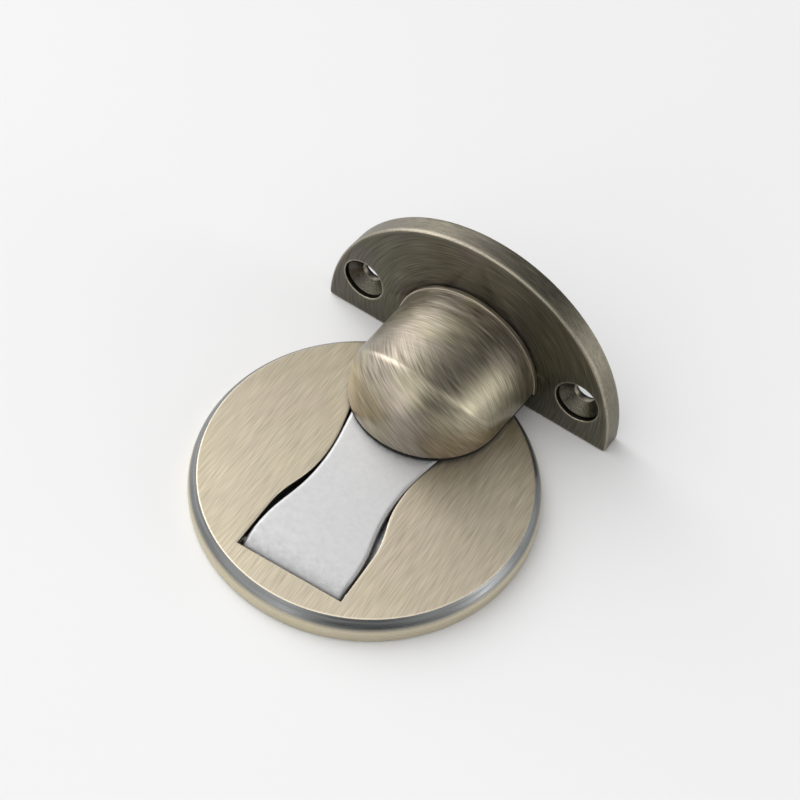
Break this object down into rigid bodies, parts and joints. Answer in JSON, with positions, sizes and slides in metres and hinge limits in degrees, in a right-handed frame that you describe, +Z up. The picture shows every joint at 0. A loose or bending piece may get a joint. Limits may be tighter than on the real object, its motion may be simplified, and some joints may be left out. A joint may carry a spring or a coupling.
{
  "type": "floor door holder",
  "caption": "Round floor unit with a hinged magnetic flap, and a D-plate door unit whose rounded magnetic head catches the flap and holds the door open.",
  "frame": {"origin": "centre of the floor unit's adhesive face, on the floor", "axes": "+Z up; +Y from the flap's hinge towards the door; +X to the right along the hinge pin"},
  "size_m": [0.0722, 0.0801, 0.0356],
  "materials": {
    "antique_bronze": "antique bronze plating on zinc alloy, brushed, highlights rubbed back, clear lacquer",
    "satin_steel": "fine satin, ferritic stainless",
    "zinc_plated_steel": "bright zinc plating",
    "nickel_plating": "nickel-plated magnet",
    "black_foam": "closed-cell foam tape",
    "black_rubber": "matte moulded rubber",
    "clear_silicone": "milky silicone",
    "white_nylon": "moulded nylon"
  },
  "bodies": {
    "floor_unit": {"adhesive_pad": "black_foam", "base_plate": "zinc_plated_steel", "floor_cover": "antique_bronze", "cover_screw_1": "zinc_plated_steel", "cover_screw_2": "zinc_plated_steel", "cover_screw_3": "zinc_plated_steel", "cover_screw_4": "zinc_plated_steel", "hinge_pin": "zinc_plated_steel", "rest_pad_left": "clear_silicone", "rest_pad_right": "clear_silicone"},
    "flap": {"catch_flap": "satin_steel"},
    "door_unit": {"door_plate": "antique_bronze", "door_pad": "black_foam", "head_shell": "antique_bronze", "head_screw_left": "zinc_plated_steel", "head_screw_right": "zinc_plated_steel", "magnet_cup": "zinc_plated_steel", "magnet_sleeve": "white_nylon", "magnet": "nickel_plating", "magnet_screw": "zinc_plated_steel", "strike_pad": "black_rubber"}
  },
  "joints": [
    {"name": "door_lift", "type": "slide", "parent": "floor_unit", "child": "door_unit", "axis": [0, 0, 1], "range_m": [0, 0.02]},
    {"name": "flap_hinge", "type": "hinge", "parent": "floor_unit", "child": "flap", "pos_m": [0, -0.02525, 0.00295], "axis": [1, 0, 0], "range_deg": [0, 23]}
  ],
  "couplings": [
    {"joint": "flap_hinge", "follows": "door_lift", "rad_per_m": 20}
  ]
}
